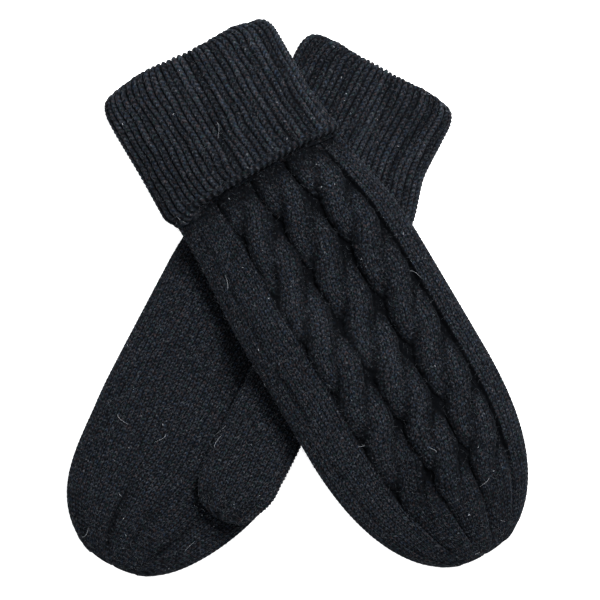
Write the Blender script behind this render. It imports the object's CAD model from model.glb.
# A pair of knitted mittens lying crossed: the left one palm up, the right one back up on top of it.
import math

import bpy
import numpy as np
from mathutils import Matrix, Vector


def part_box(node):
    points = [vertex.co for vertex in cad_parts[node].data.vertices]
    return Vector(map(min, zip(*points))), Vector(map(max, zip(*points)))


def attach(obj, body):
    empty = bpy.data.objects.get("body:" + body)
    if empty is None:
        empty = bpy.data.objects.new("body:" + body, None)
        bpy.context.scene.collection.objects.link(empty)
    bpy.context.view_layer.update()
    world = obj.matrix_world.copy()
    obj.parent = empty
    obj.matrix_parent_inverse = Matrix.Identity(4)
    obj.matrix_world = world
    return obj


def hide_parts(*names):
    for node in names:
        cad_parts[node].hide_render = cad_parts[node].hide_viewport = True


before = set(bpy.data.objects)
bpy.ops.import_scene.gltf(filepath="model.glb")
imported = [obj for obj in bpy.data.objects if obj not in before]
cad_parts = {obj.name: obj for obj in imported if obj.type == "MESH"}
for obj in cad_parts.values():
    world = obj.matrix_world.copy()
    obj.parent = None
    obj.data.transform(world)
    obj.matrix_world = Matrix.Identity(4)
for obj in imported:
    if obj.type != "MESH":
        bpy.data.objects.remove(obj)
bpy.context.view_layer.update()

mm = 0.001

# The shape of the pair, in millimetres.
# t runs from the fold of the cuff to the fingertips, s across the mitten towards its thumb, z up

knit = {
    "handThickness": 16.0, "wall": 3.6, "slack": 0.93, "thickRun": 50.0,
    "cuffThickness": 19.2, "leaf": 2.8, "hem": 63.0, "join": 68.0,
    "sectionPower": 2.6, "tipPower": 2.3,  # 2 is an ellipse, and more is squarer
    "wristNarrowing": 0.118, "wristThinning": 1.3,
    "columnPitch": 2.5, "rowPitch": 1.9, "ribPitch": 3.36, "ribRow": 2.0,
}
leftMitten = {
    "side": "left", "palmUp": 1, "length": 272.4, "halfHand": 48.7, "halfFold": 41.2, "halfHem": 45.6,
    "heading": -117.0, "foldMiddle": (41.6, 109.5), "cuffShift": 0.4, "handShift": -1.4, "tipShift": -7.1,
    "tipRun": 84.0, "foldBow": (1.3, -0.8, 0.35), "endBow": 1.4, "twist": -1, "seed": 3,
}
rightMitten = {
    "side": "right", "palmUp": -1, "length": 280.4, "halfHand": 49.8, "halfFold": 45.6, "halfHem": 45.6,
    "heading": -60.0, "foldMiddle": (-50.3, 117.4), "cuffShift": -5.3, "handShift": 1.5, "tipShift": 1.5,
    "tipRun": 87.0, "foldBow": (2.8, -0.52, 0.58), "endBow": 2.4, "twist": 1, "seed": 8,
}
thumbShape = {
    "at": (160.5, 28.6), "length": 67.6, "round": 18.0, "width": 38.6, "thickness": 10.0, "wall": 2.4,
    "tipRun": 26.0, "drop": 0.3,
}


def ease(a, b, x):
    u = np.clip((np.asarray(x, float) - a) / (b - a), 0, 1)
    return u * u * (3 - 2 * u)


def bump(x, centre, width):
    return np.exp(-((np.asarray(x, float) - centre) / width) ** 2)


def bend(v, power):
    return np.sign(v) * np.abs(v) ** power


def roundOff(x, run, power):
    r = np.clip(np.asarray(x, float) / run, 0, 1)
    return (1 - r ** power) ** (1 / power)


def ripples(seed, shortest, longest, count=14):
    # a smooth, repeatable unevenness made of a few sine waves in random directions
    rng = np.random.default_rng(seed)
    angle = rng.uniform(0, 2 * math.pi, count)
    wave = np.exp(rng.uniform(math.log(shortest), math.log(longest), count))
    phase = rng.uniform(0, 2 * math.pi, count)

    def value(x, y):
        total = 0
        for a, w, p in zip(angle, wave, phase):
            total = total + np.sin((x * math.cos(a) + y * math.sin(a)) * 2 * math.pi / w + p)
        return total / math.sqrt(count / 2)
    return value


def along(m):
    a = math.radians(m["heading"])
    return np.array([math.cos(a), math.sin(a)])


def across(m):
    a = math.radians(m["heading"])
    return np.array([-math.sin(a), math.cos(a)])


def middle(m, t):
    return (m["cuffShift"] * (1 - ease(40, 110, t)) + m["handShift"] * ease(70, 200, t)
            + (m["tipShift"] - m["handShift"]) * ease(204, 262, t))


def handHalf(m, t, off):
    full = m["halfHand"] * (1 - knit["wristNarrowing"] * (1 - ease(60, 130, t))) - off
    return full * roundOff(t - m["length"] + m["tipRun"], m["tipRun"] - off, knit["tipPower"])


def handHeight(m, t, off):
    full = knit["handThickness"] / 2 - knit["wristThinning"] * (1 - ease(knit["join"], 100, t)) - off
    return full * roundOff(t - m["length"] + knit["thickRun"], knit["thickRun"] - off, knit["sectionPower"])


cuffShape = {"corner": 6.5, "cornerRun": 11, "waist": 0.3, "hemBulge": 0.8}


def cuffHalf(m, t, off):
    reach = np.clip(1 - np.asarray(t, float) / cuffShape["cornerRun"], 0, 1)
    corner = cuffShape["corner"] * (1 - np.sqrt(1 - reach ** 2))
    waist = cuffShape["waist"] * bump(t, 42, 20) - cuffShape["hemBulge"] * bump(t, 58, 8)
    return m["halfFold"] + (m["halfHem"] - m["halfFold"]) * ease(34, 58, t) - corner - waist - off


riding = {"overHand": 16.6, "overCuff": 3.2, "overThumb": 10.6, "overOwnThumb": 12.4, "blend": 5}


def underside(m, x, y, t, s):
    # how high the right mitten rides over the left one, and over its own thumb
    if m["palmUp"] == 1:
        return 0 * x
    dx, dy = x - leftMitten["foldMiddle"][0], y - leftMitten["foldMiddle"][1]
    leftT = dx * along(leftMitten)[0] + dy * along(leftMitten)[1]
    leftS = dx * across(leftMitten)[0] + dy * across(leftMitten)[1]
    top = riding["overHand"] + riding["overCuff"] * (1 - ease(72, 98, leftT))
    top = top + riding["overThumb"] * ease(112, 136, leftT) * ease(-16, 6, leftS)
    overLeft = top * (1 - ease(46, 118, np.abs(leftS)))
    ownThumb = riding["overOwnThumb"] * ease(118, 140, t) * (1 - ease(230, 277, t)) * ease(-22, 4, s)
    return (overLeft ** riding["blend"] + ownThumb ** riding["blend"]) ** (1 / riding["blend"])


def belly(m, t):
    cuff = knit["slack"] * knit["cuffThickness"] / 2
    hand = knit["slack"] * handHeight(m, np.maximum(t, knit["join"]), 0)
    return cuff + (hand - cuff) * ease(knit["join"] - 8, knit["join"] + 22, t)


def lying(m, t, s, z):
    x = m["foldMiddle"][0] + t * along(m)[0] + s * across(m)[0]
    y = m["foldMiddle"][1] + t * along(m)[1] + s * across(m)[1]
    return np.stack([x, y, underside(m, x, y, t, s) + belly(m, t) + z], -1)


def handSkin(m, t, off, a):
    p = 2 / knit["sectionPower"]
    s = middle(m, t) + handHalf(m, t, off) * bend(np.cos(a), p)
    return lying(m, t, s, handHeight(m, t, off) * bend(np.sin(a), p))


def cuffSkin(m, t, off, a):
    p = 2 / knit["sectionPower"]
    s = middle(m, t) + cuffHalf(m, t, off) * bend(np.cos(a), p)
    return lying(m, t, s, (knit["cuffThickness"] / 2 - off) * bend(np.sin(a), p))


def thumbSkin(m, x, off, a):
    # the thumb lies on the palm of the left mitten, and under the palm of the right one
    p = 2 / knit["sectionPower"]
    root = roundOff(-x, thumbShape["round"] - off, 2)
    end = x - thumbShape["length"]
    wide = roundOff(end + thumbShape["tipRun"], thumbShape["tipRun"] - off, knit["tipPower"])
    thin = roundOff(end + thumbShape["tipRun"] / 2, thumbShape["tipRun"] / 2 - off, knit["tipPower"])
    s = (thumbShape["width"] / 2 - off) * wide * root * bend(np.cos(a), p)
    z = (thumbShape["thickness"] / 2 - off) * thin * root * bend(np.sin(a), p)
    t0, s0 = thumbShape["at"]
    px = m["foldMiddle"][0] + (t0 + x) * along(m)[0] + (s0 + s) * across(m)[0]
    py = m["foldMiddle"][1] + (t0 + x) * along(m)[1] + (s0 + s) * across(m)[1]
    return np.stack([px, py, thumbMiddle(m) + z], -1)


def thumbMiddle(m):
    half = knit["handThickness"] / 2
    over = knit["slack"] * half + half + thumbShape["drop"] if m["palmUp"] == 1 else thumbShape["drop"] + 0.2
    return over + thumbShape["thickness"] / 2


def spreadAngles(first, last, count, halfWidth, halfHeight):
    # angles that are evenly spaced along the fabric, and their distance from the middle of the span
    fine = np.linspace(first, last, 6000)
    p = 2 / knit["sectionPower"]
    x, z = halfWidth * bend(np.cos(fine), p), halfHeight * bend(np.sin(fine), p)
    run = np.concatenate([[0], np.cumsum(np.hypot(np.diff(x), np.diff(z)))])
    even = np.linspace(0, run[-1], count)
    return np.interp(even, run, fine), even - run[-1] / 2


# Stitches: heights in millimetres, and how open to the light each point is, over columns and rows.

stitch = {"depth": 0.95, "legAt": 0.24, "legHalf": 0.27, "slant": 1.55}
ribShape = {"depth": 1.6, "half": 0.47, "slant": 1.7, "purl": 0.2}


def stockingStitch(column, row):
    # two slanting legs in each column, one V above the other
    x = column - np.floor(column) - 0.5
    leg = np.clip(1 - (np.abs(np.abs(x) - stitch["legAt"]) / stitch["legHalf"]) ** 2, 0, 1) ** 0.6
    ridge = 0.5 + 0.5 * np.cos(2 * math.pi * (row - stitch["slant"] * np.abs(x)))
    return leg * (0.30 + 0.70 * ridge) * (1 - 0.5 * bump(np.abs(x), 0.5, 0.12))


def ribStitch(rib, row):
    # one knit column stands up on each rib, and a purl column sinks between two of them
    x = rib - np.floor(rib) - 0.5
    roll = np.clip(1 - (np.abs(x) / ribShape["half"]) ** 2.4, 0, 1) ** 0.6
    leg = 0.5 + 0.5 * np.cos(2 * math.pi * (row - ribShape["slant"] * np.abs(x)))
    purl = ribShape["purl"] * (1 - roll) * np.cos(2 * math.pi * row)
    height = ribShape["depth"] * roll * (0.70 + 0.30 * leg) + purl
    return height, 0.06 + 0.94 * roll * (0.30 + 0.70 * leg) * (1 - 0.35 * bump(x, 0, 0.07))


cables = {
    "middles": (-15.4, 5.8, 28.0), "first": 78.9, "period": 28.2,
    "apart": 4.7, "strand": 5.8, "spread": 2.1, "height": 3.4, "lift": 1.8, "halfWidth": 10.6,
    "edgeGrooves": (-42.0, 38.9), "grooveDepth": 1.1, "bandLevel": 1.7, "depth": 2.2,
    "closedRope": 2.9, "closedHalf": 10.4, "pleat": 35.0, "pleatHeight": 1.2, "underHem": 2.2,
}


def backRelief(m, q, t, row, wobble):
    # three ropes of two strands each, between purl valleys, with a plain band beside them
    columns = q / knit["columnPitch"] + wobble
    light = stockingStitch(columns, row)
    level = cables["bandLevel"] + stitch["depth"] * light
    left, right = cables["middles"][0] - cables["halfWidth"], cables["edgeGrooves"][1]
    inPanel = ease(left - 0.9, left + 0.9, q) * (1 - ease(right - 1.0, right + 1.6, q))
    purl = 0.5 + 0.5 * np.cos(2 * math.pi * row)
    shallow = 1.3 * ease(m["length"] - 50, m["length"] - 14, t)
    rope = 0.2 * purl + 0.6 * light - 0.9 + shallow
    ropeLight = 0.16 * purl + 0.36 * light + 0.15 * shallow
    phase = (t + 10 * wobble - cables["first"]) / cables["period"]
    turn = math.pi * (phase - np.floor(phase))
    closing = ease(m["length"] - 46, m["length"] - 16, t)
    for centre in cables["middles"]:
        x = (q - centre) * m["twist"]
        over = cables["apart"] * np.cos(turn)
        lift = cables["lift"] * np.sin(turn)
        for sign in (1, -1):
            near = (x - sign * over) / (cables["strand"] + cables["spread"] * np.sin(turn))
            rounded = np.sqrt(np.clip(1 - near ** 2, 0, 1))
            stitches = stockingStitch((x - sign * over) / knit["columnPitch"] + 0.5 * wobble, row)
            height = (cables["height"] + sign * lift) * rounded ** 0.9
            height = height + stitch["depth"] * stitches * ease(0.05, 0.5, rounded)
            higher = height > rope
            strandLight = stitches * (0.42 + 0.58 * rounded) * (1.12 - 0.42 * near ** 2)
            if sign < 0:
                gap = np.abs(x - over) - cables["strand"] - cables["spread"] * np.sin(turn)
                strandLight = strandLight * (1 - 0.75 * np.sin(turn) * (1 - ease(0, 2.8, gap)))
            ropeLight = np.where(higher, strandLight, ropeLight)
            rope = np.where(higher, height, rope)
        roll = cables["closedRope"] * np.sqrt(np.clip(1 - (x / cables["closedHalf"]) ** 2, 0, 1))
        mixIn = closing * (np.abs(x) < cables["closedHalf"])
        rope = rope * (1 - mixIn) + (roll + stitch["depth"] * light) * mixIn
        ropeLight = ropeLight * (1 - mixIn) + light * mixIn
    level = level * (1 - inPanel) + rope * inPanel
    light = light * (1 - inPanel) + ropeLight * inPanel
    for groove in cables["edgeGrooves"]:
        dip = bump(q, groove, 1.1) * ease(72, 90, t) * (1 - 0.6 * ease(m["length"] - 60, m["length"] - 25, t))
        dip = dip * np.clip(0.6 + 3.5 * wobble, 0.2, 1.1)
        level = level - cables["grooveDepth"] * dip
        light = light * (1 - 0.35 * dip)
    pleat = bump(q, cables["pleat"], 2.0) * ease(m["length"] - 45, m["length"] - 20, t)
    level = level + cables["pleatHeight"] * pleat
    underHem = 1 - ease(66, 82, t)
    return level - cables["depth"] - cables["underHem"] * underHem, light * (1 - 0.7 * underHem)


palmCreases = {  # across the palm from -1 to 1, width of the crease, depth in millimetres
    "outer": (-0.28, 0.055, 3.0), "thumbSide": (0.56, 0.05, 2.3), "middle": (0.12, 0.06, 1.0),
}


def palmRelief(m, q, t, row, wobble, qMost):
    w = q / qMost
    light = stockingStitch(q / knit["columnPitch"] + wobble, row)
    level = stitch["depth"] * light
    tipOn = ease(m["length"] - 54, m["length"] - 16, t)
    for at, width, depth in palmCreases.values():
        crease = bump(w, at, width) * tipOn
        level = level - depth * crease + 0.35 * depth * bump(w, at + 0.11, 0.06) * tipOn
        light = light * (1 - 0.17 * depth * crease)
    level = level + 0.5 * np.cos(2 * math.pi * w * 3.2 + 0.8) * ease(m["length"] - 34, m["length"] - 8, t)
    return level - 0.9, light


# Making a mesh out of a grid of points.

def gridNormals(points, wrap=False):
    if wrap:
        acrossIt = np.roll(points, -1, axis=1) - np.roll(points, 1, axis=1)
    else:
        acrossIt = np.gradient(points, axis=1)
    n = np.cross(acrossIt, np.gradient(points, axis=0))
    return n / np.maximum(np.linalg.norm(n, axis=-1, keepdims=True), 1e-9)


def flatArea(points):
    a, b = np.diff(points, axis=1)[:-1], np.diff(points, axis=0)[:, :-1]
    return np.linalg.norm(np.cross(a, b), axis=-1).sum() * mm * mm


def quads(rows, cols, start=0, wrap=False, flip=False):
    i, j = np.meshgrid(np.arange(rows - 1), np.arange(cols if wrap else cols - 1), indexing="ij")
    k = (j + 1) % cols
    corners = [i * cols + j, i * cols + k, (i + 1) * cols + k, (i + 1) * cols + j]
    if flip:
        corners.reverse()
    return (np.stack(corners, -1).reshape(-1, 4) + start).tolist()


def rim(outer, inner, step, flip):
    # joins a dense edge to a coarse one with one face for each coarse length
    faces = []
    for k in range(len(inner) - 1):
        face = list(outer[k * step:(k + 1) * step + 1]) + [inner[k + 1], inner[k]]
        faces.append(face[::-1] if flip else face)
    return faces


def makePiece(name, points, faces, uv, furrow, material):
    mesh = bpy.data.meshes.new(name)
    mesh.from_pydata((points * mm).tolist(), [], faces)
    mesh.polygons.foreach_set("use_smooth", np.ones(len(mesh.polygons), bool))
    vertexOf = np.empty(len(mesh.loops), np.int32)
    mesh.loops.foreach_get("vertex_index", vertexOf)
    layer = mesh.uv_layers.new(name="knitting")  # the fabric laid flat in a square of 400 mm
    layer.data.foreach_set("uv", (uv[vertexOf] / 400 + 0.5).astype(np.float32).ravel())
    depth = mesh.attributes.new("furrow", "FLOAT", "POINT")
    depth.data.foreach_set("value", furrow.astype(np.float32))
    mesh.materials.append(material)
    mesh.validate()
    mesh.update()
    piece = bpy.data.objects.new(name, mesh)
    bpy.context.scene.collection.objects.link(piece)
    return piece


fuzzRoots = {}


def keepRoots(body, points, normals, every):
    fuzzRoots.setdefault(body, []).append(np.concatenate([points.reshape(-1, 3)[::every],
                                                          normals.reshape(-1, 3)[::every]], 1))


def shell(face, reverse, t, a, q, relief, coarse, wrap=False, body=None, start=0):
    # a knitted layer: a dense face with its stitches, and a plain reverse side under it
    T, A = np.meshgrid(t, a, indexing="ij")
    Q = np.broadcast_to(q, T.shape)
    base = face(T, A)
    n = gridNormals(base, wrap)
    height, light = relief(Q, T)
    outer = base + n * height[..., None]
    outer[..., 2] = np.maximum(outer[..., 2], 0.0)
    stepT, stepA = coarse
    inner = reverse(T[::stepT, ::stepA], A[::stepT, ::stepA])
    rows, cols = T.shape
    rowsIn, colsIn = inner.shape[:2]
    index = np.arange(rows * cols).reshape(rows, cols) + start
    indexIn = np.arange(rowsIn * colsIn).reshape(rowsIn, colsIn) + start + rows * cols
    if wrap:
        ends = [np.append(e, e[0]).tolist() for e in (index[0], indexIn[0], index[-1], indexIn[-1])]
    else:
        ends = [e.tolist() for e in (index[0], indexIn[0], index[-1], indexIn[-1])]
    faces = quads(rows, cols, start, wrap) + quads(rowsIn, colsIn, start + rows * cols, wrap, flip=True)
    faces += rim(ends[0], ends[1], stepA, True) + rim(ends[2], ends[3], stepA, False)
    if not wrap:
        faces += rim(index[:, 0].tolist(), indexIn[:, 0].tolist(), stepT, False)
        faces += rim(index[:, -1].tolist(), indexIn[:, -1].tolist(), stepT, True)
    layout = np.stack([Q, T], -1)
    shade = np.clip(light, 0, 1)
    if body:
        keepRoots(body, outer, n, 7)
    return {
        "points": np.concatenate([outer.reshape(-1, 3), inner.reshape(-1, 3)]), "faces": faces,
        "uv": np.concatenate([layout.reshape(-1, 2), layout[::stepT, ::stepA].reshape(-1, 2)]),
        "furrow": np.concatenate([shade.ravel(), np.full(rowsIn * colsIn, 0.4)]),
        "area": flatArea(base), "wide": float(np.ptp(q)) * mm, "long": float(np.ptp(t)) * mm,
    }


def fabric(name, face, reverse, t, a, q, relief, coarse, material, body, node, wrap=False, fuzzy=True):
    made = shell(face, reverse, t, a, q, relief, coarse, wrap, body if fuzzy else None)
    piece = makePiece(name, made["points"], made["faces"], made["uv"], made["furrow"], material)
    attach(piece, body)
    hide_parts(node)
    print(name, len(made["faces"]), "faces")
    return piece, made


# The yarns and fibres.

class Wire:
    # a shader socket that can be used in arithmetic
    def __init__(self, shader, socket):
        self.shader, self.socket = shader, socket

    def maths(self, operation, first, second):
        return self.shader.node("ShaderNodeMath", {"operation": operation}, {0: first, 1: second})

    def __add__(self, other):
        return self.maths("ADD", self, other)

    def __radd__(self, other):
        return self.maths("ADD", other, self)

    def __rsub__(self, other):
        return self.maths("SUBTRACT", other, self)

    def __mul__(self, other):
        return self.maths("MULTIPLY", self, other)

    def __rmul__(self, other):
        return self.maths("MULTIPLY", other, self)

    def __pow__(self, other):
        return self.maths("POWER", self, other)


class Shader:
    def __init__(self, name):
        self.material = bpy.data.materials.new(name)
        self.material.use_nodes = True
        self.tree = self.material.node_tree
        self.tree.nodes.clear()

    def node(self, kind, settings=None, sockets=None, output=0):
        made = self.tree.nodes.new(kind)
        for key, value in (settings or {}).items():
            setattr(made, key, value)
        for key, value in (sockets or {}).items():
            if isinstance(value, Wire):
                self.tree.links.new(value.socket, made.inputs[key])
            elif hasattr(value, "__len__") and len(value) == 3 and made.inputs[key].type == "RGBA":
                made.inputs[key].default_value = (*value, 1)
            else:
                made.inputs[key].default_value = value
        return Wire(self, made.outputs[output])

    def mix(self, factor, first, second, blend="MIX"):
        return self.node("ShaderNodeMix", {"data_type": "RGBA", "blend_type": blend},
                         {0: factor, 6: first, 7: second}, output=2)

    def finish(self, surface):
        end = self.tree.nodes.new("ShaderNodeOutputMaterial")
        self.tree.links.new(surface.socket, end.inputs["Surface"])
        return self.material


yarn = {
    "deep": (0.0022, 0.0027, 0.0036), "face": (0.0250, 0.0285, 0.0365),
    "cool": (0.0165, 0.0255, 0.0430), "moss": (0.0170, 0.0310, 0.0320), "brown": (0.0400, 0.0300, 0.0320),
    "tip": (0.158, 0.171, 0.192), "roughness": 0.95, "sheen": 0.035,
    "cloud": 28, "patch": 480, "grain": 760, "fibre": (800, 300, 1), "bump": 0.6,
}
blends = {  # size, roughness and edges of the patches of each other colour in the yarn
    "cool": (700, 0.5, 0.50, 0.64), "moss": (620, 0.6, 0.53, 0.66), "brown": (820, 0.4, 0.55, 0.66),
}


def wool(name, gain=1.0):
    # dark melange yarn: the hollows between stitches are nearly black, and pale fibre ends catch the light
    sh = Shader(name)
    place = sh.node("ShaderNodeUVMap", {"uv_map": "knitting"})
    inPlace = sh.node("ShaderNodeTexCoord", None, None, output=3)

    def noise(scale, detail=2.0, rough=0.5, where=inPlace, distortion=0.0):
        return sh.node("ShaderNodeTexNoise", None, {"Vector": where, "Scale": scale, "Detail": detail,
                                                    "Roughness": rough, "Distortion": distortion})

    def window(value, low, high):
        return sh.node("ShaderNodeMapRange", {"interpolation_type": "SMOOTHSTEP"},
                       {"Value": value, "From Min": low, "From Max": high})

    furrow = sh.node("ShaderNodeAttribute", {"attribute_name": "furrow"}, None, output=2)
    cloud, patch, grain = noise(yarn["cloud"]), noise(yarn["patch"]), noise(yarn["grain"], 4, 0.8)
    stretched = sh.node("ShaderNodeVectorMath", {"operation": "MULTIPLY"}, {0: place, 1: yarn["fibre"]})
    fibre = noise(1.0, 3, 0.65, stretched, 1.2)
    shade = yarn["face"]
    for blend, (scale, rough, low, high) in blends.items():
        shade = sh.mix(window(noise(scale, 2, rough), low, high), shade, yarn[blend])
    tuft = window(patch, 0.28, 0.72)
    strength = (0.06 + 1.17 * furrow ** 1.6) * (0.40 + 0.3 * cloud + 0.85 * tuft)
    strength = strength * (0.44 + 0.92 * window(fibre, 0.3, 0.75))
    tone = sh.node("ShaderNodeCombineColor", None, {"Red": strength * gain, "Green": strength * gain,
                                                    "Blue": strength * gain})
    colour = sh.mix(1.0, shade, tone, "MULTIPLY")
    colour = sh.mix((1 - furrow) ** 2.5 * 0.7, colour, yarn["deep"])
    colour = sh.mix(window(grain, 0.56, 0.74) * (0.15 + 0.85 * furrow), colour, yarn["tip"])
    normal = sh.node("ShaderNodeBump", None, {"Strength": yarn["bump"], "Distance": 0.6 * mm,
                                              "Height": 0.55 * fibre + 0.45 * grain})
    return sh.finish(sh.node("ShaderNodeBsdfPrincipled", None, {
        "Base Color": colour, "Roughness": yarn["roughness"] - 0.06 * grain, "Normal": normal,
        "Sheen Weight": yarn["sheen"], "Sheen Roughness": 0.4, "Sheen Tint": (0.62, 0.72, 0.86),
        "Specular IOR Level": 0.03}))


def plainFibre(name, shade, roughness):
    sh = Shader(name)
    tone = sh.node("ShaderNodeTexNoise", None, {"Scale": 90, "Detail": 1})
    colour = sh.mix(tone, tuple(0.55 * c for c in shade), tuple(min(1, 1.35 * c) for c in shade))
    return sh.finish(sh.node("ShaderNodeBsdfPrincipled", None, {
        "Base Color": colour, "Roughness": roughness, "Sheen Weight": 0.15, "Specular IOR Level": 0.25}))


handWool = wool("stocking stitch wool")
ribWool = wool("ribbing wool", 1.05)
seamWool = wool("seam yarn wool", 0.95)
fuzzWool = plainFibre("loose wool fibre", (0.052, 0.060, 0.072), 0.85)
lintFibre = plainFibre("pale lint", (0.56, 0.59, 0.64), 0.8)
print("materials done")


# The pieces of a mitten.

detail = {  # how many points each piece has
    "panelColumns": 217, "panelRows": 401, "ribSteps": 7, "leafRows": 169,
    "thumbAround": 200, "thumbRows": 181, "seamRows": 421, "seamColumns": 13,
}
handPiece = {
    "edge": math.radians(9.6), "under": 0.6, "tipGap": 1.7, "wander": (18, 60), "uneven": (3, 9),
    "soft": (34, 90), "unevenHeight": 0.09, "softHeight": 0.3, "calmRim": 0.6, "tipLevel": 0.8,
}


def handPanel(m, isPalm):
    onTop = (m["palmUp"] == 1) == isPalm
    edge = handPiece["edge"]
    first = edge if onTop else math.pi + edge
    a, q = spreadAngles(first, first + math.pi - 2 * edge, detail["panelColumns"], m["halfHand"],
                        knit["handThickness"] / 2)
    q = -q if onTop else q
    start, end = knit["join"] - handPiece["under"], m["length"] - handPiece["tipGap"]
    u = np.linspace(0, 1, detail["panelRows"])
    t = start + (end - start) * (u + 0.05 * np.sin(math.pi * u) * u)
    wander = ripples(m["seed"] + isPalm, *handPiece["wander"])
    uneven = ripples(m["seed"] + 20 + isPalm, *handPiece["uneven"])
    soft = ripples(m["seed"] + 40 + isPalm, *handPiece["soft"])
    qMost = np.abs(q).max()

    def relief(Q, T):
        row = T / knit["rowPitch"] + 0.10 * wander(Q, T)
        wobble = 0.10 * wander(T, Q) + 0.05 * uneven(Q, T)
        if isPalm:
            level, light = palmRelief(m, Q, T, row, wobble, qMost)
        else:
            level, light = backRelief(m, Q, T, row, wobble)
        fade = 1 - ease(m["length"] - 14, m["length"] - 1.5, T)
        level = level * (0.3 + 0.7 * fade) + handPiece["tipLevel"] * (1 - fade)
        rimOf = ease(0.90, 0.98, np.abs(Q) / qMost)
        level = level - handPiece["calmRim"] * stitch["depth"] * (light - 0.4) * rimOf
        bulge = handPiece["softHeight"] * soft(Q, T) if onTop else 0
        return level + handPiece["unevenHeight"] * uneven(T, Q) + bulge, light

    part = m["side"] + ("_palm" if isPalm else "_back")
    piece, made = fabric(part, lambda T, A: handSkin(m, T, 0, A),
                         lambda T, A: handSkin(m, T, knit["wall"], A), t, a, q, relief, (8, 8), handWool,
                         m["side"] + "_mitten", part + "_panel")


sideSeam = {
    "angle": math.radians(10.2), "under": 0.4, "tipGap": 2.0, "link": 2.1, "slant": 1.4,
    "chain": 0.7, "sunk": 0.45, "linkHeight": 0.14, "split": 0.4,
}


def sideSeams(m):
    # a chain of edge stitches down each side
    half = sideSeam["angle"]
    t = np.linspace(knit["join"] - sideSeam["under"], m["length"] - sideSeam["tipGap"], detail["seamRows"])

    def relief(Q, T):
        chain = Q / 2
        link = 0.5 + 0.5 * np.cos(2 * math.pi * (T / sideSeam["link"] - sideSeam["slant"] * np.abs(chain)))
        rounded = np.sqrt(np.clip(1 - (2 * np.abs(chain)) ** 2, 0, 1))
        h = sideSeam["chain"] * rounded - sideSeam["sunk"] + sideSeam["linkHeight"] * link
        return h - sideSeam["split"] * bump(chain, 0, 0.07), 0.25 + 0.6 * link

    sides = []
    for centre in (0.0, math.pi):
        a = np.linspace(centre - half, centre + half, detail["seamColumns"])
        start = sum(len(side["points"]) for side in sides)
        sides.append(shell(lambda T, A: handSkin(m, T, 0, A), lambda T, A: handSkin(m, T, knit["wall"], A),
                           t, a, (a - centre) / half, relief, (6, 4), body=m["side"] + "_mitten",
                           start=start))
    points, uv, furrow = [np.concatenate([side[k] for side in sides]) for k in ("points", "uv", "furrow")]
    faces = sides[0]["faces"] + sides[1]["faces"]
    piece = makePiece(m["side"] + "_seams", points, faces, uv, furrow, seamWool)
    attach(piece, m["side"] + "_mitten")
    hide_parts(m["side"] + "_side_seams")


tipGather = {"run": 7.0, "folds": 11, "sunk": 0.9, "rise": 0.35, "foldHeight": 0.9, "thick": 0.8}


def fingertipGather(m):
    # the last round of stitches, pulled together into small radiating folds
    a = np.linspace(0, 2 * math.pi, 241)[:-1]
    t = m["length"] - tipGather["run"] * (1 - np.linspace(0, 1, 25) ** 0.6) - 0.05

    def relief(Q, T):
        folds = 0.5 + 0.5 * np.cos(Q * tipGather["folds"] + 0.6 * np.sin(Q * 3))
        near = ease(m["length"] - tipGather["run"], m["length"] - 1.5, T)
        height = (tipGather["rise"] + tipGather["foldHeight"] * folds) * near
        return height - tipGather["sunk"], 0.2 + 0.5 * folds

    fabric(m["side"] + "_tip_gather", lambda T, A: handSkin(m, T, 0, A),
           lambda T, A: handSkin(m, T, tipGather["thick"], A), t, a, a, relief, (6, 6), seamWool,
           m["side"] + "_mitten", m["side"] + "_fingertip_gather", wrap=True, fuzzy=False)


def ribbing(m):
    # the number of ribs round a cuff, and evenly spaced angles with several to each rib
    half = knit["cuffThickness"] / 2
    perimeter = np.ptp(spreadAngles(0, 2 * math.pi, 10, m["halfHem"], half)[1])
    ribs = int(round(perimeter / knit["ribPitch"]))
    a, q = spreadAngles(0, 2 * math.pi, ribs * detail["ribSteps"] + 1, m["halfHem"], half)
    return ribs, perimeter, a[:-1], q[:-1]


droop = {"flat": 1.6, "free": 5.0, "held": 1.8, "corner": 4.2, "waist": 0.5}


def hemShift(m, t, a):
    # the bound edge sags at the ends of the cuff, and bulges outwards there
    end = bend(np.cos(a), 2 / knit["sectionPower"])
    lower = ease(25, 66, t)
    height, at, width = m["foldBow"]
    bow = m["endBow"] * ease(0.72, 1, end) * (1 - ease(0, 16, t))
    bow = bow - height * bump(end, at, width) * (1 - ease(0, 34, t))
    if m["palmUp"] == 1:
        return droop["flat"] * ease(0.6, 1, np.abs(end)) * lower + bow, 0 * end
    sag = (droop["free"] * ease(0.62, 1, -end) + droop["held"] * ease(0.6, 1, end)) * lower
    corner = droop["corner"] * ease(57, 67, t) ** 1.5 - droop["waist"] * bump(t, 52, 11)
    return sag + bow, ease(0.7, 1, -end) * corner


def cuffPoint(m, t, off, a):
    sag, bulge = hemShift(m, t, a)
    p = cuffSkin(m, t, off, a)
    p[..., 0] += sag * along(m)[0] + bulge * across(m)[0]
    p[..., 1] += sag * along(m)[1] + bulge * across(m)[1]
    return p


turnedLeaf = {
    "inside": 4.4, "wander": (14, 50), "soft": (30, 70), "perRib": (4, 13), "sunk": 1.1,
    "softHeight": 0.14, "ribHeight": 0.1, "flare": 0.7, "flareRun": 9,
}


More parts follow.
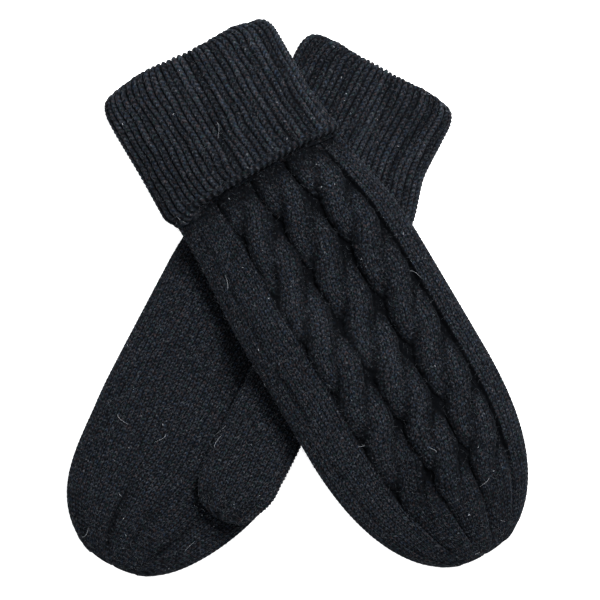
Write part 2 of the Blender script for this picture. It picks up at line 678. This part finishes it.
def cuffTurnedLeaf(m):
    # from just inside the opening, round the fold and along the outside to the hem
    ribs, perimeter, a, q = ribbing(m)
    wander = ripples(m["seed"] + 60, *turnedLeaf["wander"])
    soft = ripples(m["seed"] + 70, *turnedLeaf["soft"])
    perRib = ripples(m["seed"] + 75, *turnedLeaf["perRib"])
    leaf = knit["leaf"]
    arc = np.linspace(-math.pi / 2, math.pi / 2, 25)
    pathT = np.concatenate([[turnedLeaf["inside"]], leaf - leaf * np.cos(arc), [knit["hem"]]])
    pathOff = np.concatenate([[2 * leaf], leaf - leaf * np.sin(arc), [0]])
    run = np.concatenate([[0], np.cumsum(np.hypot(np.diff(pathT), np.diff(pathOff)))])
    even = np.linspace(0, run[-1], detail["leafRows"])

    def face(R, A):
        return cuffPoint(m, np.interp(R, run, pathT), np.interp(R, run, pathOff), A)

    def reverse(R, A):
        t, off = np.interp(R, run, pathT), np.interp(R, run, pathOff)
        return cuffPoint(m, np.maximum(t, turnedLeaf["inside"]), np.clip(off, leaf, 1.9 * leaf), A)

    def relief(Q, R):
        rib = Q / perimeter * ribs + 0.09 * wander(Q, R)
        height, light = ribStitch(rib, R / knit["ribRow"] + 0.12 * wander(R, Q) + 0.5 * np.floor(rib))
        flare = turnedLeaf["flare"] * ease(run[-1] - turnedLeaf["flareRun"], run[-1], R)
        change = perRib(Q, 0.12 * R)
        height = height - turnedLeaf["sunk"] + turnedLeaf["softHeight"] * soft(Q, R)
        return height + turnedLeaf["ribHeight"] * change + flare, light * (1 + 0.16 * change)

    piece, made = fabric(
        m["side"] + "_cuff_leaf", face, reverse, even, a, q, relief, (4, detail["ribSteps"]), ribWool,
        m["side"] + "_mitten", m["side"] + "_cuff_turned_leaf", wrap=True)
    made["area"] / made["long"]


boundEdge = {"middle": 0.62, "reach": 1.2, "half": 1.5, "drop": 0.55, "loop": 0.8, "chain": 0.3, "crown": 0.5}


def cuffBoundEdge(m):
    # a chain of bound-off loops along the hem, one to each rib
    ribs, perimeter, a, q = ribbing(m)
    u = np.linspace(0, math.pi, 15)
    height = knit["leaf"] * boundEdge["middle"]

    def face(U, A):
        t = knit["hem"] + boundEdge["reach"] - boundEdge["half"] * np.cos(U)
        return cuffPoint(m, t, height - (height + boundEdge["drop"]) * np.sin(U), A)

    def reverse(U, A):
        return cuffPoint(m, knit["hem"] + 1.5 - 1.4 * np.cos(U), knit["leaf"] + 0 * U, A)

    def relief(Q, U):
        link = Q / perimeter * ribs
        x = link - np.floor(link) - 0.5
        chain = 0.5 + 0.5 * np.cos(2 * math.pi * (link + 0.25 * np.cos(U)))
        height = boundEdge["loop"] * np.cos(math.pi * x) ** 2 + boundEdge["chain"] * chain
        return height - 0.1 + boundEdge["crown"] * np.sin(U), 0.2 + 0.5 * chain

    fabric(m["side"] + "_hem_chain", face, reverse, u, a, q, relief, (7, detail["ribSteps"]), seamWool,
           m["side"] + "_mitten", m["side"] + "_cuff_bound_edge", wrap=True)


innerLeaf = {"inside": 4.6, "end": 0.3, "gap": 0.5, "ribShare": 0.5, "sunk": 0.4}


def cuffInnerLeaf(m):
    # the inside of the cuff, ribbed on the side that the hand touches
    ribs, perimeter, a, q = ribbing(m)
    first, last = innerLeaf["inside"], knit["join"] - innerLeaf["end"]
    t = np.linspace(first, last, 37)
    leaf, gap = knit["leaf"], innerLeaf["gap"]

    def inside(T, A):
        return cuffPoint(m, first + last - T, 2 * leaf + gap + 0 * T, A)

    def outside(T, A):
        return cuffPoint(m, first + last - T, leaf + gap + 0 * T, A)

    def relief(Q, T):
        height, light = ribStitch(Q / perimeter * ribs, T / knit["ribRow"])
        return innerLeaf["ribShare"] * height - innerLeaf["sunk"], light

    fabric(m["side"] + "_cuff_lining", inside, outside, t, a, q, relief, (4, detail["ribSteps"]), ribWool,
           m["side"] + "_mitten", m["side"] + "_cuff_inner_leaf", wrap=True, fuzzy=False)


joinRound = {"before": 2.0, "after": 0.4, "outside": 1.4, "inside": 3.4, "link": 0.3}


def cuffJoin(m):
    # where the ribbing is linked to the hand, in the shadow of the hem
    ribs, perimeter, a, q = ribbing(m)
    t = np.linspace(knit["join"] - joinRound["before"], knit["join"] + joinRound["after"], 9)

    def relief(Q, T):
        link = np.cos(2 * math.pi * Q / perimeter * ribs)
        return joinRound["link"] * (link - 1), 0.3 + 0.3 * link

    fabric(m["side"] + "_cuff_link", lambda T, A: handSkin(m, T, joinRound["outside"], A),
           lambda T, A: handSkin(m, T, joinRound["inside"], A), t, a, q, relief, (4, detail["ribSteps"]),
           seamWool, m["side"] + "_mitten", m["side"] + "_cuff_join", wrap=True, fuzzy=False)


# The thumbs.

thumbKnit = {"tipGap": 2.6, "uneven": (3, 9), "soft": (16, 40), "softHeight": 0.25, "sunk": 0.7, "pleats": 7}


def thumbTube(m):
    a, q = spreadAngles(0, 2 * math.pi, detail["thumbAround"] + 1, thumbShape["width"] / 2,
                        thumbShape["thickness"] / 2)
    a, q = a[:-1], q[:-1]
    u = np.linspace(0, 1, detail["thumbRows"])
    first, last = -thumbShape["round"] + 0.02, thumbShape["length"] - thumbKnit["tipGap"]
    x = first + (last - first) * (u - 0.035 * np.sin(2 * math.pi * u))
    uneven = ripples(m["seed"] + 80, *thumbKnit["uneven"])
    soft = ripples(m["seed"] + 90, *thumbKnit["soft"])
    perimeter = np.ptp(q)
    columns = round(perimeter / knit["columnPitch"])

    def relief(Q, X):
        light = stockingStitch(Q / perimeter * columns + 0.05 * uneven(Q, X), X / knit["rowPitch"])
        tip = ease(thumbShape["length"] - 20, thumbShape["length"] - 4, X)
        pleats = np.cos(2 * math.pi * Q / perimeter * thumbKnit["pleats"] + 1.1)
        starting = ease(-16, -6, X)
        level = (stitch["depth"] * light - thumbKnit["sunk"]) * starting * (1 - 0.5 * tip)
        level = level + pleats * tip * starting + thumbKnit["softHeight"] * soft(Q, X)
        return level, light * (1 - 0.2 * tip * (1 - pleats))

    def reverse(X, A):
        inside = np.clip(X, -15.4, thumbShape["length"] - 3)  # stays clear of the rounded ends
        return thumbSkin(m, inside, thumbShape["wall"], A)

    fabric(m["side"] + "_thumb", lambda X, A: thumbSkin(m, X, 0, A), reverse, x, a, q, relief, (6, 8),
           handWool, m["side"] + "_thumb", m["side"] + "_thumb_tube", wrap=True)


thumbGather = {"run": 4.0, "folds": 9, "sunk": 0.55, "rise": 0.3, "foldHeight": 0.6, "thick": 0.7}


def thumbTipGather(m):
    a = np.linspace(0, 2 * math.pi, 169)[:-1]
    x = thumbShape["length"] - thumbGather["run"] * (1 - np.linspace(0, 1, 17) ** 0.7) - 0.02

    def relief(Q, X):
        near = ease(thumbShape["length"] - thumbGather["run"], thumbShape["length"] - 0.5, X)
        folds = 0.5 + 0.5 * np.cos(thumbGather["folds"] * Q)
        height = (thumbGather["rise"] + thumbGather["foldHeight"] * folds) * near
        return height - thumbGather["sunk"], 0.2 + 0.5 * folds

    fabric(m["side"] + "_thumb_gather", lambda X, A: thumbSkin(m, X, 0, A),
           lambda X, A: thumbSkin(m, X, thumbGather["thick"], A), x, a, a, relief, (4, 6), seamWool,
           m["side"] + "_thumb", m["side"] + "_thumb_tip_gather", wrap=True, fuzzy=False)


joinRing = {"radius": 13.9, "thick": 2.0, "links": 32}
rootRing = {"radius": 11.4, "thick": 1.8, "links": 28}


def thumbCollar(node, name, body, material, shape):
    # a short ring of stitches where the thumb grows out of the palm
    low, high = [np.array(c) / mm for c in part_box(node)]
    centre = (low + high) / 2
    a = np.linspace(0, 2 * math.pi, shape["links"] * 5 + 1)[:-1]
    z = np.linspace(low[2], high[2], 13)
    inner = shape["radius"] - shape["thick"]

    def ring(Z, A, r):
        return np.stack([centre[0] + r * np.cos(A), centre[1] + r * np.sin(A), Z], -1)

    def relief(Q, Z):
        link = np.cos(Q * shape["links"]) * np.sin((Z - low[2]) / (high[2] - low[2]) * math.pi)
        return 0.4 * link, 0.5 + 0.4 * link

    fabric(name, lambda Z, A: ring(Z, A, shape["radius"]), lambda Z, A: ring(Z, A, inner), z, a, a, relief,
           (4, 5), material, body, node, wrap=True, fuzzy=False)


def makeMitten(m):
    side = m["side"]
    for isPalm in (True, False):
        handPanel(m, isPalm)
    sideSeams(m)
    fingertipGather(m)
    cuffTurnedLeaf(m)
    cuffBoundEdge(m)
    cuffInnerLeaf(m)
    cuffJoin(m)
    thumbTube(m)
    thumbTipGather(m)
    thumbCollar(side + "_thumb_join", side + "_thumb_link", side + "_mitten", seamWool, joinRing)
    thumbCollar(side + "_thumb_root", side + "_thumb_base", side + "_thumb", handWool,
                rootRing)


for mitten in (leftMitten, rightMitten):
    makeMitten(mitten)
print("mittens done")


# Loose fibres.

fibreKinds = {  # how many on a mitten, and their lengths and radius in millimetres
    "fuzz": {"count": 7000, "length": (1.0, 3.2), "radius": 0.045, "slope": (0.15, 0.95), "curl": 0.9,
             "material": fuzzWool},
    "strays": {"count": 30, "length": (1.5, 6.0), "radius": 0.06, "slope": (0.02, 0.2), "curl": 2.6,
               "material": lintFibre},
    "lint": {"count": 85, "length": (0.4, 1.1), "radius": 0.13, "slope": (0.2, 0.6), "curl": 1.2,
             "material": lintFibre},
}
fibreShare = {"left_mitten": 1.0, "right_mitten": 1.0, "left_thumb": 0.22, "right_thumb": 0.15}


def fibres(name, body, roots, lengths, rng, kind):
    # thin curved tubes with three sides, each in four steps from its root to its end
    count = len(roots)
    start, n = roots[:, :3], roots[:, 3:]
    drift = rng.normal(size=(count, 3))
    drift -= n * (drift * n).sum(1, keepdims=True)
    drift /= np.maximum(np.linalg.norm(drift, axis=1, keepdims=True), 1e-6)
    turn = np.cross(n, drift) * rng.choice([-1, 1], (count, 1))
    rise = rng.uniform(*kind["slope"], (count, 1))
    line = []
    for u in np.linspace(0, 1, 5):
        p = start + n * (rise * lengths * (u - 0.45 * u * u) - 0.15)
        line.append(p + drift * lengths * u * (1 - 0.5 * rise) + turn * lengths * kind["curl"] * u * u * 0.5)
    line = np.stack(line, 1)
    side = np.cross(np.gradient(line, axis=1), n[:, None, :])
    side /= np.maximum(np.linalg.norm(side, axis=-1, keepdims=True), 1e-9)
    up = np.cross(side, np.gradient(line, axis=1))
    up /= np.maximum(np.linalg.norm(up, axis=-1, keepdims=True), 1e-9)
    taper = (kind["radius"] * np.array([1, 1, 0.9, 0.75, 0.45]))[None, :, None]
    rings = [line + taper * (math.cos(k * 2 * math.pi / 3) * side + math.sin(k * 2 * math.pi / 3) * up)
             for k in range(3)]
    points = np.stack(rings, 2)
    points[..., 2] = np.maximum(points[..., 2], 0.05)
    each = 15
    pattern = [(i * 3 + j, i * 3 + (j + 1) % 3, i * 3 + 3 + (j + 1) % 3, i * 3 + 3 + j)
               for i in range(4) for j in range(3)] + [(2, 1, 0), (12, 13, 14)]
    faces = [tuple(v + f * each for v in corner) for f in range(count) for corner in pattern]
    points = points.reshape(-1, 3)
    piece = makePiece(name, points, faces, points[:, :2], np.ones(len(points)), kind["material"])
    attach(piece, body)


def makeFuzz(body, share):
    rng = np.random.default_rng(len(body) + 11)
    roots = np.concatenate(fuzzRoots[body])
    for kindName, kind in fibreKinds.items():
        pick = rng.choice(len(roots), max(2, int(kind["count"] * share)), replace=False)
        lengths = rng.uniform(*kind["length"], (len(pick), 1))
        fibres(body + "_" + kindName, body, roots[pick], lengths, rng, kind)


for fuzzyBody, share in fibreShare.items():
    makeFuzz(fuzzyBody, share)
print("fuzz done")


# Floor, light and camera.

studio = {
    "floorSize": 3.0, "floorGlow": 1.0, "dome": 0.5,
    "lamp": (0.48, 0.78, 1.25), "lampSize": 0.6, "lampWatts": 36.0,
    "target": (0.00216, -0.00186, 0.02), "distance": 3.0, "frameWidth": 0.288, "sensor": 36.0,
    "paper": ((0.90, 0.90, 0.90), (0.92, 0.92, 0.92)), "sky": (0.96, 0.98, 1.0),
}


def makeStudio():
    half = studio["floorSize"] / 2
    mesh = bpy.data.meshes.new("floor")
    corners = [(x * half, y * half, -0.2 * mm) for x, y in ((-1, -1), (1, -1), (1, 1), (-1, 1))]
    mesh.from_pydata(corners, [], [(0, 1, 2, 3)])
    sh = Shader("paper white")
    speck = sh.node("ShaderNodeTexNoise", None, {"Scale": 30, "Detail": 2})
    tone = sh.mix(speck, *studio["paper"])
    mesh.materials.append(sh.finish(sh.node("ShaderNodeBsdfPrincipled", None, {
        "Base Color": tone, "Roughness": 0.9, "Emission Color": tone,
        "Emission Strength": studio["floorGlow"]})))
    floor = bpy.data.objects.new("floor", mesh)
    bpy.context.scene.collection.objects.link(floor)

    world = bpy.data.worlds.new("soft room")
    world.use_nodes = True
    glow = world.node_tree.nodes["Background"]
    glow.inputs["Color"].default_value = (*studio["sky"], 1)
    glow.inputs["Strength"].default_value = studio["dome"]
    bpy.context.scene.world = world

    light = bpy.data.lights.new("soft box", "AREA")
    light.size = studio["lampSize"]
    light.energy = studio["lampWatts"]
    lamp = bpy.data.objects.new("soft box", light)
    lamp.location = studio["lamp"]
    towards = -np.array(studio["lamp"])
    lamp.rotation_euler = (math.acos(-towards[2] / np.linalg.norm(towards)), 0,
                           math.atan2(towards[1], towards[0]) - math.pi / 2)
    bpy.context.scene.collection.objects.link(lamp)

    view = bpy.data.cameras.new("camera")
    view.sensor_width = studio["sensor"]
    view.lens = studio["sensor"] * studio["distance"] / studio["frameWidth"]
    view.clip_end = 20
    camera = bpy.data.objects.new("camera", view)
    x, y, z = studio["target"]
    camera.location = (x, y, z + studio["distance"])
    bpy.context.scene.collection.objects.link(camera)
    bpy.context.scene.camera = camera
    bpy.context.scene.view_settings.view_transform = "Standard"


makeStudio()
print("studio done")
